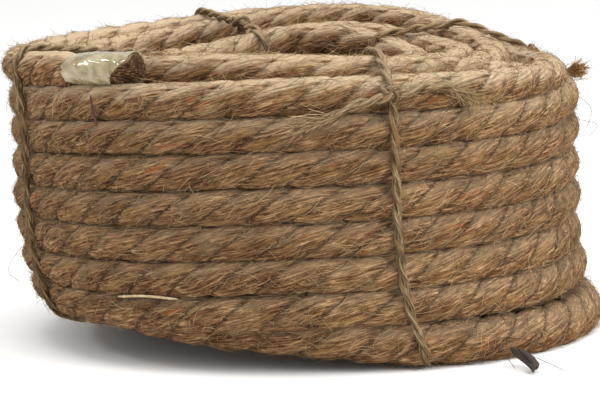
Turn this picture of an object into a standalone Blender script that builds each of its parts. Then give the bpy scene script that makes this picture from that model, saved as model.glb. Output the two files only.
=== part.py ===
"""A dock line as it is stored: a three-strand jute rope wound into a standing coil and held by four twine ties.

Frame: metres, +Z up, origin on the floor under the middle of the whole object. The front is the -Y side.
Angles round the coil are degrees from the front, positive towards +X. The coil is a turned ring; the last
stretch of the outer turn lies on top of it, and its taped end can be lifted. The coil leans towards -X.
"""

import math

import bmesh
import bpy
from mathutils import Vector

ROPE_D = 0.016
ROPE_R = ROPE_D / 2
ROWS = 8
LAYERS = 5
LAYER_PITCH = 0.015
OUTER_TURN_R = 0.1256  # centreline of the outermost turns
INNER_TURN_R = OUTER_TURN_R - (LAYERS - 1) * LAYER_PITCH
COIL_OUTER_R = OUTER_TURN_R + ROPE_R
COIL_INNER_R = INNER_TURN_R - ROPE_R
COIL_HEIGHT = ROWS * ROPE_D
LEAN = -0.105  # sideways shift of the stack for each metre of height
GROOVE_STEEPNESS = 0.8  # 1 would cut the groove between two turns as deep as round ropes do
COIL_STEPS = 48
TWINE_D = 0.004
TWINE_R = TWINE_D / 2
GAP = 0.0003
CHANNEL_HEIGHT = 0.0080
CHANNEL_WIDTH = TWINE_D + 0.0022
KNOT_R = 0.0045

RUN_START, END_HINGE, END_CUT = -150.0, -58.0, -33.0
TAPE_START, TAPE_END = -54.5, -35.5
TAPED_R = 0.0070
TAPE_THICKNESS = 0.0005
HINGE_GAP_DEG = 0.15

INNER_END_CUT, INNER_END_START = 60.0, 112.0
INNER_TAPE_END, INNER_TAPE_START = 62.0, 84.0
TUBE_BEVEL = 4  # 12 sides
TWINE_BEVEL = 2  # 8 sides

# Each tie: its angle round the coil on the outer wall, on the hole's wall, and its knot's place.
TIES = {
    "front_right": (19.0, 36.0, "shoulder"),
    "left": (-66.0, -100.0, "hole"),
    "back_left": (-160.0, -168.0, "top"),
    "back_right": (112.0, 140.0, "shoulder"),
}
# The knots' loose ends: the angle round the coil, radius and height of each point, from the knot outwards.
TAIL_ROUTES = {
    "front_right_tie_left_tail": [(14.6, 0.1372, 0.1235), (8.0, 0.1374, 0.1195), (1.0, 0.1374, 0.1145),
                                  (-4.5, 0.1372, 0.1105)],
    "front_right_tie_right_tail": [(23.2, 0.1372, 0.1250), (29.5, 0.1376, 0.1262), (36.0, 0.1378, 0.1262),
                                   (41.0, 0.1376, 0.1240)],
    "back_right_tie_tail": [(107.4, 0.1372, 0.1250), (103.0, 0.1380, 0.1262), (98.0, 0.1392, 0.1285)],
    "back_left_tie_tail": [(-164.5, 0.1120, 0.1310), (-169.0, 0.1180, 0.1316), (-173.0, 0.1235, 0.1316)],
    "left_tie_tail": [(-106.5, 0.0545, 0.0880), (-111.0, 0.0542, 0.0800), (-114.0, 0.0542, 0.0705)],
}

JUTE = (0.36, 0.235, 0.13)
TWINE = (0.34, 0.26, 0.15)
TAPE = (0.62, 0.57, 0.42)


def material(name, colour, roughness):
    made = bpy.data.materials.new(name)
    made.use_nodes = True
    shader = made.node_tree.nodes["Principled BSDF"]
    shader.inputs["Base Color"].default_value = (*colour, 1.0)
    shader.inputs["Roughness"].default_value = roughness
    return made


def leaning(point):
    """The point moved sideways with the lean of the stack."""
    return Vector((point[0] + LEAN * (point[2] - COIL_HEIGHT / 2), point[1], point[2]))


def around(angle, radius, height):
    """The leaning point at this angle round the coil."""
    turn = math.radians(angle)
    return leaning((radius * math.sin(turn), -radius * math.cos(turn), height))


def groove(offset):
    """How far the coil's surface falls back at this distance from the middle of a turn."""
    return ROPE_R - math.sqrt(ROPE_R**2 - (GROOVE_STEEPNESS * offset) ** 2)


def coil_profile():
    """(radius, height) round the ring's section: down the outer wall, in along the floor, up the hole, out on top."""
    round_off = ROPE_R * (1.0 - math.sin(math.radians(45)))
    outer = [(COIL_OUTER_R - round_off, COIL_HEIGHT - round_off)]
    for row in reversed(range(ROWS)):
        middle = (row + 0.5) * ROPE_D
        offsets = [1.0, 0.4, -0.4]
        if row == ROWS - 1:
            offsets = offsets[1:]
        if row == 0:
            offsets += [-0.8]
        for share in offsets:
            offset = share * ROPE_R
            outer.append((COIL_OUTER_R - groove(offset), middle + offset))
    floor = [(COIL_OUTER_R - ROPE_R * 0.8, 0.0), (COIL_INNER_R + ROPE_R * 0.8, 0.0)]
    hole = []
    for row in range(ROWS):
        middle = (row + 0.5) * ROPE_D
        for share in (-1.0, 0.0) if row else (-0.8, 0.0):
            offset = share * ROPE_R
            hole.append((COIL_INNER_R + groove(offset), middle + offset))
    hole.append((COIL_INNER_R + round_off, COIL_HEIGHT - round_off))
    top = []
    for layer in range(LAYERS):
        middle = INNER_TURN_R + layer * LAYER_PITCH
        for share in (-0.9, -0.35, 0.35) if layer else (-0.35, 0.35):
            offset = share * ROPE_R
            top.append((middle + offset, COIL_HEIGHT - groove(offset)))
    return outer + floor + hole + top


def add_to(collection, obj):
    collection.objects.link(obj)
    return obj


def mesh_of(obj):
    """The evaluated shape of an object as a mesh of its own; the object itself is removed."""
    graph = bpy.context.evaluated_depsgraph_get()
    graph.update()
    made = bpy.data.meshes.new_from_object(obj.evaluated_get(graph))
    bpy.data.objects.remove(obj)
    return made


def turned_ring(collection):
    """The coil: its section turned round the axis, then leaned."""
    profile = bpy.data.meshes.new("coil_profile")
    points = coil_profile()
    edges = [(i, (i + 1) % len(points)) for i in range(len(points))]
    profile.from_pydata([(radius, 0.0, height) for radius, height in points], edges, [])
    ring = add_to(collection, bpy.data.objects.new("coil_blank", profile))
    screw = ring.modifiers.new("turn", "SCREW")
    screw.axis = "Z"
    screw.steps = screw.render_steps = COIL_STEPS
    screw.use_merge_vertices = True
    screw.merge_threshold = 0.00001
    mesh = mesh_of(ring)
    for vertex in mesh.vertices:
        vertex.co = leaning(vertex.co)
    return add_to(collection, bpy.data.objects.new("rope_coil", mesh))


def cut_channel(coil, cutters, name, outer_angle, inner_angle):
    """A slot under the coil that a tie runs through, so that the coil rests on the rope and not on the twine."""
    outside = around(outer_angle, COIL_OUTER_R, CHANNEL_HEIGHT / 2)
    inside = around(inner_angle, COIL_INNER_R, CHANNEL_HEIGHT / 2)
    overshoot = (outside - inside).normalized() * ROPE_D
    outside += overshoot
    inside -= overshoot
    bpy.ops.mesh.primitive_cube_add(size=1.0)
    box = bpy.context.object
    box.name = f"{name}_channel"
    for owner in list(box.users_collection):
        owner.objects.unlink(box)
    add_to(cutters, box)
    along = outside - inside
    box.location = (outside + inside) / 2 - Vector((0.0, 0.0, ROPE_R / 2))
    box.rotation_euler = (0.0, 0.0, math.atan2(along.y, along.x))
    box.scale = (along.length, CHANNEL_WIDTH, CHANNEL_HEIGHT + ROPE_R)
    box.hide_render = True
    box.display_type = "WIRE"
    cut = coil.modifiers.new(f"{name}_channel", "BOOLEAN")
    cut.object = box
    cut.operation = "DIFFERENCE"
    cut.solver = "EXACT"


def tube(collection, name, points, radius, bevel, look, radii=None):
    """A round tube with closed ends through these points."""
    curve = bpy.data.curves.new(name, "CURVE")
    curve.dimensions = "3D"
    spline = curve.splines.new("POLY")
    spline.points.add(len(points) - 1)
    for i, point in enumerate(points):
        spline.points[i].co = (*point, 1.0)
        spline.points[i].radius = radii[i] if radii else 1.0
    curve.bevel_depth = radius
    curve.bevel_resolution = bevel
    curve.use_fill_caps = True
    curve.materials.append(look)
    return add_to(collection, bpy.data.objects.new(name, curve))


def steps_between(start, end, count):
    return [start + (end - start) * i / (count - 1) for i in range(count)]


def top_run(start, end, count):
    """Points of the last turn's centreline, lying on the coil's outer shoulder."""
    height = COIL_HEIGHT + ROPE_R + GAP
    return [around(angle, OUTER_TURN_R, height) for angle in steps_between(start, end, count)]


def tape_sleeve(collection, name, points, inner_radius, look):
    """A wrap of tape: an open tube given a thickness outwards."""
    curve = tube(collection, f"{name}_blank", points, inner_radius, TUBE_BEVEL, look)
    curve.data.use_fill_caps = False
    mesh = mesh_of(curve)
    sleeve = add_to(collection, bpy.data.objects.new(name, mesh))
    wall = sleeve.modifiers.new("thickness", "SOLIDIFY")
    wall.thickness = TAPE_THICKNESS
    wall.offset = 1.0
    return sleeve


def squeezed(angles, tape_start):
    """The share of the rope's radius at each point: full as far as the tape, then as tight as the tape holds it."""
    step = abs(angles[1] - angles[0])
    tight = (TAPED_R - GAP) / ROPE_R
    untaped = abs(tape_start - angles[0]) - step
    return [1.0 if abs(angle - angles[0]) < untaped else tight for angle in angles]


def outer_end(collection, jute, tape):
    """The last stretch of the outer turn, its free end and the tape on it."""
    tube(collection, "rope_outer_run", top_run(RUN_START, END_HINGE - HINGE_GAP_DEG, 34), ROPE_R, TUBE_BEVEL,
         jute)
    angles = steps_between(END_HINGE + HINGE_GAP_DEG, END_CUT, 11)
    points = top_run(END_HINGE + HINGE_GAP_DEG, END_CUT, len(angles))
    tube(collection, "rope_outer_end", points, ROPE_R, TUBE_BEVEL, jute, squeezed(angles, TAPE_START))
    tape_sleeve(collection, "outer_end_tape", top_run(TAPE_START, TAPE_END, 8), TAPED_R, tape)


def inner_end(collection, jute, tape):
    """The rope's other end, which lies free in the hole, on the floor against the innermost turn."""
    radius = COIL_INNER_R - ROPE_R - GAP
    angles = steps_between(INNER_END_START, INNER_END_CUT, 14)
    points = [around(angle, radius, ROPE_R) for angle in angles]
    tube(collection, "rope_inner_end", points, ROPE_R, TUBE_BEVEL, jute, squeezed(angles, INNER_TAPE_START))
    wrapped = [around(a, radius, ROPE_R) for a in steps_between(INNER_TAPE_START, INNER_TAPE_END, 7)]
    tape_sleeve(collection, "inner_end_tape", wrapped, TAPED_R, tape)


def corner(centre, start, end, reach_out, reach_up, count):
    """(radius, height) points of a rounded corner round this centre, from one direction to another."""
    found = []
    for angle in steps_between(math.radians(start), math.radians(end), count):
        found.append((centre[0] + reach_out * math.cos(angle), centre[1] + reach_up * math.sin(angle)))
    return found


def tie_section(over_run):
    """(radius, height, how far across the top or floor, 0 outside to 1 in the hole) round a tie's loop.

    The loop starts at the outer shoulder, crosses the top, goes down the hole, back under the coil in its
    channel and up the outer wall.
    """
    clear = TWINE_R + 2 * GAP
    low = TWINE_R + 2 * GAP
    rise = ROPE_D + GAP if over_run else 0.0
    shoulder = (OUTER_TURN_R, COIL_HEIGHT - ROPE_R + rise)
    inner_shoulder = (INNER_TURN_R, COIL_HEIGHT - ROPE_R)
    foot = (OUTER_TURN_R, ROPE_R)
    inner_foot = (INNER_TURN_R, ROPE_R)
    reach = ROPE_R + clear
    loop = corner(shoulder, 40, 90, reach, reach, 4)
    if over_run:
        loop += corner(shoulder, 107, 160, reach, reach, 4)
    loop.append((INNER_TURN_R + LAYER_PITCH, COIL_HEIGHT + clear))
    loop += corner(inner_shoulder, 90, 180, reach, reach, 4)
    loop.append((COIL_INNER_R - clear, COIL_HEIGHT / 2))
    loop += corner(inner_foot, 180, 270, reach, ROPE_R - low, 4)
    loop += corner(foot, 270, 360, reach, ROPE_R - low, 4)
    loop += [(COIL_OUTER_R + clear, COIL_HEIGHT * 0.3), (COIL_OUTER_R + clear, COIL_HEIGHT * 0.6)]
    loop += corner(shoulder, 0, 20, reach, reach, 2)
    return loop


def across(outer_angle, inner_angle, radius, height):
    """The point at this radius on the straight line that a tie takes in plan, from the outer wall to the hole."""
    outside = around(outer_angle, COIL_OUTER_R, COIL_HEIGHT / 2)
    inside = around(inner_angle, COIL_INNER_R, COIL_HEIGHT / 2)
    if radius >= COIL_OUTER_R:
        return around(outer_angle, radius, height)
    if radius <= COIL_INNER_R:
        return around(inner_angle, radius, height)
    near, far = 0.0, 1.0
    for _ in range(30):
        share = (near + far) / 2
        place = outside.lerp(inside, share)
        if math.hypot(place.x, place.y) > radius:
            near = share
        else:
            far = share
    return leaning((place.x, place.y, height))


def tie_path(outer_angle, inner_angle, over_run):
    """The points of the whole loop."""
    return [across(outer_angle, inner_angle, radius, height) for radius, height in tie_section(over_run)]


def open_at(points, place, clearance):
    """The closed loop cut open at this point, with this clearance on both sides of it."""
    count = len(points)
    nearest = min(range(count), key=lambda i: (points[i] - place).length)
    turned = [points[(nearest + i) % count] for i in range(count + 1)]
    kept = [p for p in turned[1:-1] if (p - place).length > clearance * 1.15]
    for end, neighbour in ((0, kept[0]), (len(kept) + 1, kept[-1])):
        away = (neighbour - place).normalized()
        kept.insert(end, place + away * clearance)
    return kept


def knot(collection, name, place, look):
    """A plain ball where the twine is knotted."""
    mesh = bpy.data.meshes.new(name)
    shape = bmesh.new()
    bmesh.ops.create_uvsphere(shape, u_segments=10, v_segments=7, radius=KNOT_R)
    shape.to_mesh(mesh)
    shape.free()
    mesh.materials.append(look)
    made = add_to(collection, bpy.data.objects.new(name, mesh))
    made.location = place
    return made


def knot_place(outer_angle, inner_angle, where):
    """The middle of a tie's knot, which lies on the rope and in line with its loop."""
    clear = KNOT_R + 2 * GAP
    share = math.sin(math.radians(45))
    if where == "shoulder":
        reach = (ROPE_R + clear) * share
        return around(outer_angle, OUTER_TURN_R + reach, COIL_HEIGHT - ROPE_R + reach)
    if where == "top":
        return across(outer_angle, inner_angle, OUTER_TURN_R - LAYER_PITCH, COIL_HEIGHT + clear)
    return around(inner_angle, COIL_INNER_R - clear, COIL_HEIGHT * 0.72)


def smooth(points, count):
    """This many points on a smooth curve through the given ones."""
    ends = [2 * points[0] - points[1]] + list(points) + [2 * points[-1] - points[-2]]
    spans = len(points) - 1
    found = []
    for place in steps_between(0.0, spans, count):
        i = min(int(place), spans - 1)
        t = place - i
        a, b, c, d = ends[i : i + 4]
        found.append(
            0.5 * (2 * b + (c - a) * t + (2 * a - 5 * b + 4 * c - d) * t**2 + (3 * b - a - 3 * c + d) * t**3)
        )
    return found


def ties(collection, cutters, coil, twine):
    """The four twine ties: a loop through a channel under the coil, its knot and the knot's loose end or ends."""
    for name, (outer_angle, inner_angle, where) in TIES.items():
        cut_channel(coil, cutters, name, outer_angle, inner_angle)
        place = knot_place(outer_angle, inner_angle, where)
        knot(collection, f"{name}_tie_knot", place, twine)
        loop = tie_path(outer_angle, inner_angle, over_run=name == "left")
        opened = open_at(loop, place, KNOT_R + GAP + TWINE_R / 2)
        tube(collection, f"{name}_tie", opened, TWINE_R, TWINE_BEVEL, twine)
    for name, route in TAIL_ROUTES.items():
        points = smooth([around(*step) for step in route], 9)
        tube(collection, name, points, TWINE_R, TWINE_BEVEL, twine)


def centre_on_origin(collection):
    """Moves everything so that the origin is on the floor under the middle of the whole object."""
    bpy.context.view_layer.update()
    graph = bpy.context.evaluated_depsgraph_get()
    corners = []
    for obj in collection.objects:
        shape = obj.evaluated_get(graph)
        mesh = shape.to_mesh()
        corners += [shape.matrix_world @ vertex.co for vertex in mesh.vertices]
        shape.to_mesh_clear()
    middle = [(min(c[i] for c in corners) + max(c[i] for c in corners)) / 2 for i in range(2)]
    lowest = min(c.z for c in corners)
    holder = bpy.data.objects.new("coil_centre", None)
    collection.objects.link(holder)
    holder.location = (-middle[0], -middle[1], -lowest)
    for obj in bpy.data.objects:
        if obj != holder:
            obj.parent = holder


def main():
    for obj in list(bpy.data.objects):
        bpy.data.objects.remove(obj, do_unlink=True)
    parts = bpy.data.collections.new("coiled_dock_line")
    cutters = bpy.data.collections.new("cutters")
    for collection in (parts, cutters):
        bpy.context.scene.collection.children.link(collection)
    jute = material("jute_rope", JUTE, 0.95)
    twine = material("jute_twine", TWINE, 0.95)
    tape = material("clear_tape", TAPE, 0.3)
    coil = turned_ring(parts)
    coil.data.materials.append(jute)
    outer_end(parts, jute, tape)
    inner_end(parts, jute, tape)
    ties(parts, cutters, coil, twine)
    centre_on_origin(parts)


main()
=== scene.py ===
"""The looks of a coiled dock line: a three-strand jute rope wound into a standing coil, held by twine ties.

Everything is worked out on an upright coil and leaned at the end, in metres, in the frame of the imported
model. Angles round the coil are degrees from the front (-Y), positive towards +X. The rope is one line,
about 23 m long, from its inner end in the hole, up and down through five layers, to its taped outer end
on top at the front left.
"""

import math

import bpy
import numpy as np
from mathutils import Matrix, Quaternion, Vector


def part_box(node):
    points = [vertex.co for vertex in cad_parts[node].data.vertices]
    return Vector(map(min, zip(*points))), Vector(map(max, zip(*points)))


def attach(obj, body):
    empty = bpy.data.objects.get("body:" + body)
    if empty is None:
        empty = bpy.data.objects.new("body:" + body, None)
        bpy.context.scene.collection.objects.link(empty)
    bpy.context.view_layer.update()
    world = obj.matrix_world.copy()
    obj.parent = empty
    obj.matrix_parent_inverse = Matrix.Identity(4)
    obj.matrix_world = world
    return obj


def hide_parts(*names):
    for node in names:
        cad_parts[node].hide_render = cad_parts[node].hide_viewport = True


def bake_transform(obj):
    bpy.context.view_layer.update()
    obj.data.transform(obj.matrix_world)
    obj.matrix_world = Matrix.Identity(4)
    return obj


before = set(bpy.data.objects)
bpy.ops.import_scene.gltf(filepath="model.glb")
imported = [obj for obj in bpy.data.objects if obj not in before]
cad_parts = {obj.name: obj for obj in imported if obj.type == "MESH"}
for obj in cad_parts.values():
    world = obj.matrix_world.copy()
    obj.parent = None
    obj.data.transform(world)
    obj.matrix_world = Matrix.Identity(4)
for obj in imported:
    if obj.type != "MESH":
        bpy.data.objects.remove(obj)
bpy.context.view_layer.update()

MM = 0.001
TAU = 2 * np.pi
SEED = 11

ROPE_D = 0.016
ROPE_R = ROPE_D / 2
ROWS = 8
LAYERS = 5
LAYER_PITCH = 0.015
OUTER_TURN_R = 0.1256
INNER_TURN_R = OUTER_TURN_R - (LAYERS - 1) * LAYER_PITCH
COIL_OUTER_R = OUTER_TURN_R + ROPE_R
COIL_INNER_R = INNER_TURN_R - ROPE_R
COIL_HEIGHT = ROWS * ROPE_D
COIL_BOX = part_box("rope_coil")
AXIS_X, AXIS_Y = [(COIL_BOX[0][i] + COIL_BOX[1][i]) / 2 for i in range(2)]

# How the coil is out of true.
LEAN = -0.105  # how far the coil leans sideways for each metre of height
FLARE = 0.015  # how much the radius grows for each metre of height
BELLY = 1.6 * MM  # how far the middle rows of the wall stand out
# Sideways shift of the rows beyond the lean: share of the height, and shift in metres.
SWAY = [(-0.1, 4.5 * MM), (0.06, 3.5 * MM), (0.2, -1.0 * MM), (0.35, -2.8 * MM), (0.55, -1.6 * MM),
        (0.75, 1.2 * MM), (0.9, 2.6 * MM), (1.2, 2.8 * MM)]
BACK_RISE, BACK_MIDDLE, BACK_REACH = 0.08, 165, 62  # how much taller the rows stand at the back, and where
LEFT_SQUEEZE, LEFT_MIDDLE, LEFT_REACH = 0.055, 272, 65  # how much closer the rows lie on the left, and where
SQUEEZE_ABOUT = 75 * MM  # the height that stays when the left is squeezed
# Slow waves of the turns: size, cycles in a turn, phase, and how far the phase moves over the coil's height.
RADIUS_WAVES = [(1.0 * MM, 2, 0.8, 2.2), (0.5 * MM, 3, 0.0, 4.0)]
HEIGHT_WAVES = [(0.9 * MM, 2, 1.1, 1.4), (0.6 * MM, 3, 2.0, 0.0)]

# The lay of the rope.
LAY_PITCH = 63 * MM
STRANDS = 3
STRAND_R = 4.95 * MM
STRAND_OFFSET = 3.75 * MM
CREST_R = STRAND_R + STRAND_OFFSET
YARN_PITCH = 1.5 * MM
YARN_SLIP = 0.56  # sideways run of a yarn over its strand, for each metre along the rope
YARN_WANDER = 0.45 * MM
YARN_RELIEF = 0.55 * MM
LUMPS = 0.22 * MM
CONTACT_FILL, CONTACT_FLAT = 7.15 * MM, 8.2 * MM
GROOVE_SHARE = 0.52  # depth of the grooves between strands, as a share of round hard strands
MOST_SAG = 1.15  # how far the lower half of the lowest turns is stretched to reach the floor, at most

# The rope's route: total angle turned, radius and height of the centreline in rope diameters.
FIRST, SECOND, THIRD, FOURTH, FIFTH = [INNER_TURN_R + layer * LAYER_PITCH for layer in range(LAYERS)]
HOLE_LINE_R = COIL_INNER_R - ROPE_R - 0.3 * MM
BOTTOM = 0.56
ROUTE = [
    (60, HOLE_LINE_R, BOTTOM), (98, HOLE_LINE_R, BOTTOM), (134, FIRST, BOTTOM), (2820, FIRST, 8.0),
    (2865, SECOND, 8.1), (5565, SECOND, BOTTOM),
    (5605, THIRD, BOTTOM), (5670, THIRD, 1.15), (5741, THIRD, 1.35), (8045, THIRD, 8.0),
    (8085, FOURTH, 8.0), (8190, FOURTH, 8.12), (8280, FOURTH, 8.2), (8318, FOURTH, 8.05),
    (8352, FOURTH, 7.5), (8390, FOURTH, 6.8), (8445, FOURTH, 6.85), (8550, FOURTH, 6.95),
    (8640, FOURTH, 7.0), (8710, FOURTH, 6.5), (8745, FOURTH, 5.8), (10615, FOURTH, 0.6),
    (10700, FOURTH, 1.2), (10742, FOURTH, 1.3),
    (10785, FIFTH - 8 * MM, 0.98), (10812, FIFTH - 3 * MM, 0.76), (10838, FIFTH + 1 * MM, 0.62),
    (10875, FIFTH + 1 * MM, 0.60), (10915, FIFTH, 0.78), (11000, FIFTH, 1.25), (13340, FIFTH, 7.66),
    (13378, FIFTH - 2 * MM, 7.60), (13430, FIFTH - 8 * MM, 7.38), (13465, FIFTH - 7 * MM, 7.60),
    (13510, FIFTH, 8.10), (13570, FIFTH, 8.30), (13600, FIFTH, 8.40), (13649, FIFTH, 8.42),
]
ROUTE_START, ROUTE_END = ROUTE[0][0], ROUTE[-1][0]
RADIUS_EASE, HEIGHT_EASE = 41, 61  # how many half degrees the route's bends are eased over
TAIL_START = ROUTE_END - 39.0  # total angle where the free end's piece starts
HINGE_ANGLE = ROUTE_END - 27.0
HINGE_HALF_REACH = 5.0  # degrees either side of the hinge; the places there are worked out but the rope is not bent
SLACK_FROM, SLACK_TO = 10800, 10905  # total angles between which the lowest outer turn lies slack
SLACK_SWELL = 0.09  # how much thicker it is there
LINE_STEP = 1.0 * MM

# The taped and cut ends.
TAPE_LENGTH = 38 * MM
TAPED_R = 7.0 * MM
UNDER_TAPE_R = 6.7 * MM
TAPE_WALL = 0.22 * MM
SLANT = 11.5 * MM  # how far the cut runs along the rope, either side of its middle
SLANT_FACING = 125.0  # the side of the section that is left longest
CUT_R, CUT_THICK, CUT_FIBRES = 6.6 * MM, 1.2 * MM, 1100

TWINE_R = 2.0 * MM
TWINE_PLIES, TWINE_SIDES, TWINE_STEP = 2, 20, 0.7 * MM


def smoothstep(low, high, value):
    share = np.clip((np.asarray(value, float) - low) / (high - low), 0.0, 1.0)
    return share * share * (3.0 - 2.0 * share)


def waves(place, seed, longest=1.0, shortest=0.2):
    """A smooth wandering value of about -1 to 1 along a line."""
    rng = np.random.default_rng(seed)
    place = np.asarray(place, float)
    total = np.zeros_like(place)
    lengths = np.geomspace(longest, shortest, 5)
    for length in lengths:
        total += np.sin(TAU * place / length + rng.uniform(0, TAU))
    return total / len(lengths) * 1.3


def settled(value, window):
    """Running average, with the ends held."""
    padded = np.pad(value, window // 2, mode="edge")
    return np.convolve(padded, np.ones(window) / window, mode="valid")[: len(value)]


def unit(vectors):
    return vectors / np.maximum(np.linalg.norm(vectors, axis=-1, keepdims=True), 1e-12)


def lengths_along(points):
    """How far along a line each of its points is."""
    return np.concatenate([[0.0], np.cumsum(np.linalg.norm(np.diff(points, axis=0), axis=1))])


def sampled(places, along, values):
    """The values at these places along a line, column by column."""
    return np.stack([np.interp(places, along, column) for column in values.T], axis=-1)


def upright(angle, radius, height):
    """Points at these angles, radii and heights round the upright coil."""
    turn = np.radians(angle)
    return np.stack([radius * np.sin(turn), -radius * np.cos(turn), height + 0 * turn], axis=-1)


def leaned(points):
    """The upright coil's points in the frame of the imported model."""
    points = np.array(points, float)
    share, shift = np.array(SWAY).T
    points[..., 0] += np.interp(points[..., 2] / COIL_HEIGHT, share, shift)
    points[..., 0] += LEAN * (points[..., 2] - COIL_HEIGHT / 2) + AXIS_X
    points[..., 1] += AXIS_Y
    return points


class Line:
    """A dense centreline with a frame that doesn't twist: along, out and up at each point."""

    def __init__(self, points, out):
        self.points = points
        self.along = lengths_along(points)
        self.length = self.along[-1]
        tangent = unit(np.gradient(points, axis=0))
        self.out = unit(out - tangent * np.sum(out * tangent, axis=1, keepdims=True))
        self.up = np.cross(self.out, tangent)

    def centre(self, places):
        return sampled(places, self.along, self.points)

    def surface(self, places, angles, reach):
        """Points this far from the line, at these places and angles (0 is outwards, 90 degrees up)."""
        out = sampled(places, self.along, self.out) * np.cos(angles)[..., None]
        up = sampled(places, self.along, self.up) * np.sin(angles)[..., None]
        return self.centre(places) + reach[..., None] * (out + up)


def around(angle, middle, reach):
    """1 at an angle round the coil, falling to 0 this far to either side."""
    off = np.mod(angle - middle + 180, 360) - 180
    return np.cos(np.clip(off / reach, -1, 1) * np.pi / 2) ** 2


def wobble(slow_waves, turn, high):
    return sum(size * np.sin(cycles * turn + phase + drift * high)
               for size, cycles, phase, drift in slow_waves)


def rope_line():
    """The whole rope's centreline on the upright coil, and the total angle at each of its points."""
    angle = np.arange(ROUTE_START, ROUTE_END + 0.25, 0.5)
    route_angle, route_radius, route_height = np.array(ROUTE, float).T
    radius = settled(np.interp(angle, route_angle, route_radius), RADIUS_EASE)
    height = settled(np.interp(angle, route_angle, route_height), HEIGHT_EASE) * ROPE_D
    turn = np.radians(angle)
    high = height / COIL_HEIGHT
    height *= 1 + BACK_RISE * around(angle, BACK_MIDDLE, BACK_REACH)
    above_floor_turn = height > ROPE_D * 1.1
    squeeze = LEFT_SQUEEZE * around(angle, LEFT_MIDDLE, LEFT_REACH) * above_floor_turn
    height -= squeeze * (height - SQUEEZE_ABOUT)
    radius += FLARE * (height - COIL_HEIGHT / 2) + BELLY * np.sin(np.pi * np.clip(high, 0, 1))
    radius += wobble(RADIUS_WAVES, turn, high)
    free = smoothstep(0.02, 0.12, high)
    height += free * wobble(HEIGHT_WAVES, turn, high)
    radius += 0.55 * MM * waves(angle, SEED, longest=260, shortest=50)
    height += 0.5 * MM * free * waves(angle, SEED + 1, longest=230, shortest=45)
    points = upright(angle, radius, height)
    along = lengths_along(points)
    places = np.arange(0.0, along[-1], LINE_STEP)
    even = sampled(places, along, points)
    return Line(even, unit(even * (1.0, 1.0, 0.0))), np.interp(places, along, angle)


ROPE, ROPE_ANGLE = rope_line()


def place_of(total_angle):
    """How far along the rope this total angle is reached."""
    return float(np.interp(total_angle, ROPE_ANGLE, ROPE.along))


def laid_section(angles, along, strands, strand_r, offset, lay, seed):
    """(reach, groove 0 to 1, coordinate across the yarns, strand number) of a laid rope's surface."""
    turned = angles - TAU * along / lay + 0.22 * waves(along, seed + 40, longest=0.31, shortest=0.07)
    sector = TAU / strands
    strand = np.floor((turned + sector / 2) / sector)
    beta = turned - strand * sector
    strand = np.mod(strand, strands)
    own_r = strand_r * (1 + 0.035 * waves(along + 0.37 * strand, seed, longest=0.2, shortest=0.03))
    deep = own_r**2 - (offset * np.sin(beta)) ** 2
    reach = offset * np.cos(beta) + np.sqrt(np.maximum(deep, (0.1 * strand_r) ** 2))
    own_angle = np.arctan2(reach * np.sin(beta), reach * np.cos(beta) - offset)
    groove = np.abs(beta) / (sector / 2)
    return reach, groove, own_angle * strand_r, strand


def rope_section(angles, along):
    """(reach, groove, yarn coordinate, strand) of the dock line, with the relief of its yarns."""
    reach, groove, across, strand = laid_section(
        angles, along, STRANDS, STRAND_R, STRAND_OFFSET, LAY_PITCH, SEED + 5
    )
    across = across + YARN_SLIP * along
    across = across + YARN_WANDER * waves(along + 0.19 * strand, SEED + 6, longest=0.09, shortest=0.02)
    yarn = across / YARN_PITCH + 0.25 * np.sin(across / YARN_PITCH * 1.7 + strand)
    ridge = np.abs(np.sin(np.pi * yarn)) ** 0.6
    proud = 0.75 + 0.5 * np.sin(np.floor(yarn) * 12.9898 + strand * 4.1 + along * 45)
    fade = 1.0 - smoothstep(0.85, 1.0, groove)
    reach = CREST_R - GROOVE_SHARE * (CREST_R - reach)
    reach = reach + YARN_RELIEF * fade * (ridge * proud - 0.6)
    reach = reach + LUMPS * waves(along + 0.004 * angles, SEED + 9, longest=0.03, shortest=0.004)
    return pressed(angles, reach, along) * swelling(along), groove, across, strand


def swelling(along):
    """The lowest outer turn is slack, and thicker where it lies free on the floor."""
    start, end = place_of(SLACK_FROM), place_of(SLACK_TO)
    grown = smoothstep(start, start + 40 * MM, along) * (1 - smoothstep(end - 60 * MM, end, along))
    return 1 + SLACK_SWELL * grown


def pressed(angles, reach, along):
    """The section where turns lie on each other: flat at the contact, its hollows there partly filled."""
    steep = np.abs(np.sin(angles))
    contact = smoothstep(0.70, 0.93, steep)
    own_side = along + 0.05 * np.sign(np.sin(angles))
    fill = CONTACT_FILL + 0.5 * MM * waves(own_side, SEED + 8, longest=0.07, shortest=0.01)
    rise = np.maximum(steep, 0.3)
    flat = np.minimum(np.maximum(reach, fill / rise), CONTACT_FLAT / rise)
    return reach * (1 - contact) + flat * contact


# --- meshes ---


def placed(name, data):
    """A new object of this data in the scene."""
    made = bpy.data.objects.new(name, data)
    bpy.context.scene.collection.objects.link(made)
    return made


def new_mesh(name, points, quads, triangles=np.zeros((0, 3), int)):
    """A mesh object from arrays of points and of faces."""
    mesh = bpy.data.meshes.new(name)
    mesh.vertices.add(len(points))
    mesh.vertices.foreach_set("co", np.asarray(points, np.float32).ravel())
    corners = np.concatenate([quads.ravel(), triangles.ravel()]).astype(np.int32)
    mesh.loops.add(len(corners))
    mesh.loops.foreach_set("vertex_index", corners)
    mesh.polygons.add(len(quads) + len(triangles))
    starts = np.concatenate([np.arange(len(quads)) * 4, len(quads) * 4 + np.arange(len(triangles)) * 3])
    mesh.polygons.foreach_set("loop_start", starts.astype(np.int32))
    mesh.update(calc_edges=True)
    mesh.validate()
    mesh.shade_smooth()
    return placed(name, mesh)


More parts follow.
